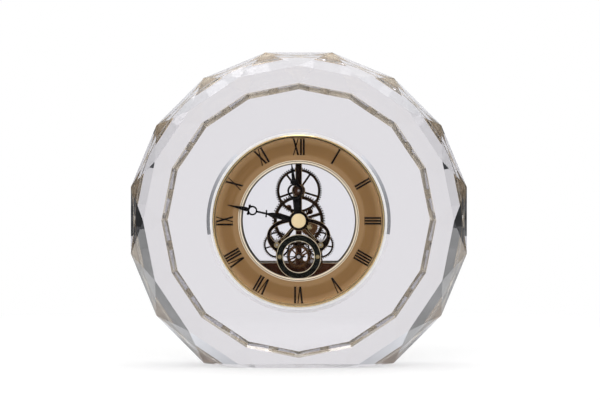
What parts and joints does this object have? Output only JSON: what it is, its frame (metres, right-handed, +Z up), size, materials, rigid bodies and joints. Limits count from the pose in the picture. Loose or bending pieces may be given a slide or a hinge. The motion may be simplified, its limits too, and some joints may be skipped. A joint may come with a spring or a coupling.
{
  "type": "table clock",
  "caption": "Round faceted crystal table clock on a flat base, with a push-fit gold dial ring insert, open-work gear train and two hands.",
  "frame": {"origin": "centre line of the flat base, under the widest section (girdle) of the block, in the plane of the surface it stands on", "axes": "+Z up, +X to the right of someone reading the dial, the dial faces -Y"},
  "size_m": [0.168, 0.0406, 0.1555],
  "materials": {
    "crystal": "clear polished optical crystal with flat cut facets",
    "silicone": "milky translucent silicone",
    "case_gold": "polished gold plate",
    "lens_glass": "clear flat mineral glass",
    "dial_gold": "satin antique gold, fine circular grain",
    "bezel_gold": "polished pale gold",
    "movement_bronze": "dark bronze plate with bright cut edges",
    "ring_black": "black plate with polished bevels",
    "brass": "polished brass",
    "steel": "fine turned steel",
    "black_plastic": "moulded black plastic",
    "board_green": "coated circuit board",
    "copper_wire": "wound enamelled copper",
    "battery_jacket": "plain printed jacket, bare steel ends",
    "cover_gold": "gold moulded plastic",
    "hand_black": "black satin lacquer"
  },
  "bodies": {
    "block": {"crystal_body": "crystal"},
    "insert": {"gasket": "silicone", "case_ring": "case_gold", "front_lens": "lens_glass", "spacer_ring": "case_gold", "dial_ring": "dial_gold", "inner_bezel": "bezel_gold", "window_tube": "bezel_gold", "plate_spacer": "movement_bronze", "back_plate": "movement_bronze", "front_bridge": "movement_bronze", "front_ring": "ring_black", "pillars": "brass", "pillar_screws": "steel", "ring_screws": "brass", "front_bushes": "brass", "rear_bushes": "brass", "motion_stud": "steel", "ring_stud": "steel", "step_stud": "steel", "module_housing": "black_plastic", "circuit_board": "board_green", "quartz_can": "steel", "stator": "steel", "coil_core": "steel", "coil_winding": "copper_wire", "battery": "battery_jacket", "positive_contact": "steel", "spring_contact": "steel", "rear_cover": "cover_gold", "rear_lens": "lens_glass", "cover_screws": "steel"},
    "minute_line": {"minute_hand": "hand_black", "hub_cap": "bezel_gold", "centre_arbor": "steel", "centre_wheel": "movement_bronze", "setting_knob": "black_plastic"},
    "hour_line": {"hour_hand": "hand_black", "hour_wheel": "movement_bronze"},
    "motion_work": {"motion_wheel": "movement_bronze"},
    "top_train": {"top_wheel": "movement_bronze", "top_arbor": "steel"},
    "left_train": {"left_wheel": "movement_bronze", "left_arbor": "steel"},
    "right_train": {"right_wheel": "movement_bronze", "right_arbor": "steel"},
    "ring_train": {"ring_wheel": "movement_bronze", "drive_wheel": "movement_bronze", "ring_sleeve": "steel", "small_hand": "hand_black"},
    "step_train": {"step_wheel": "movement_bronze", "step_pinion": "steel"},
    "rotor": {"rotor_magnet": "steel", "rotor_arbor": "steel"},
    "battery_door": {"battery_cover": "cover_gold"}
  },
  "joints": [
    {"name": "insert_pull", "type": "slide", "parent": "block", "child": "insert", "axis": [0, -1, 0], "range_m": [0, 0.04]},
    {"name": "minute_turn", "type": "hinge", "parent": "insert", "child": "minute_line", "pos_m": [0, -0.0088, 0.0715], "axis": [0, 1, 0], "continuous": true},
    {"name": "hour_turn", "type": "hinge", "parent": "insert", "child": "hour_line", "pos_m": [0, -0.0088, 0.0715], "axis": [0, 1, 0], "continuous": true},
    {"name": "motion_turn", "type": "hinge", "parent": "insert", "child": "motion_work", "pos_m": [0.0052, -0.0088, 0.0685], "axis": [0, 1, 0], "continuous": true},
    {"name": "top_turn", "type": "hinge", "parent": "insert", "child": "top_train", "pos_m": [0, -0.0088, 0.0863], "axis": [0, 1, 0], "continuous": true},
    {"name": "left_turn", "type": "hinge", "parent": "insert", "child": "left_train", "pos_m": [-0.01071, -0.0088, 0.05961], "axis": [0, 1, 0], "continuous": true},
    {"name": "right_turn", "type": "hinge", "parent": "insert", "child": "right_train", "pos_m": [0.01071, -0.0088, 0.05961], "axis": [0, 1, 0], "continuous": true},
    {"name": "ring_turn", "type": "hinge", "parent": "insert", "child": "ring_train", "pos_m": [0, -0.0088, 0.05386], "axis": [0, 1, 0], "continuous": true},
    {"name": "step_turn", "type": "hinge", "parent": "insert", "child": "step_train", "pos_m": [0.00658, -0.0088, 0.05147], "axis": [0, 1, 0], "continuous": true},
    {"name": "rotor_turn", "type": "hinge", "parent": "insert", "child": "rotor", "pos_m": [0.00505, -0.0088, 0.04536], "axis": [0, 1, 0], "continuous": true},
    {"name": "battery_cover_off", "type": "slide", "parent": "insert", "child": "battery_door", "axis": [0, 1, 0], "range_m": [0, 0.012]}
  ],
  "couplings": [
    {"joint": "hour_turn", "follows": "minute_turn", "ratio": 0.083333},
    {"joint": "motion_turn", "follows": "minute_turn", "ratio": -0.33333},
    {"joint": "top_turn", "follows": "minute_turn", "ratio": -6.4},
    {"joint": "left_turn", "follows": "minute_turn", "ratio": -4},
    {"joint": "right_turn", "follows": "minute_turn", "ratio": -4},
    {"joint": "ring_turn", "follows": "minute_turn", "ratio": 5},
    {"joint": "step_turn", "follows": "minute_turn", "ratio": -30},
    {"joint": "rotor_turn", "follows": "minute_turn", "ratio": 180}
  ]
}
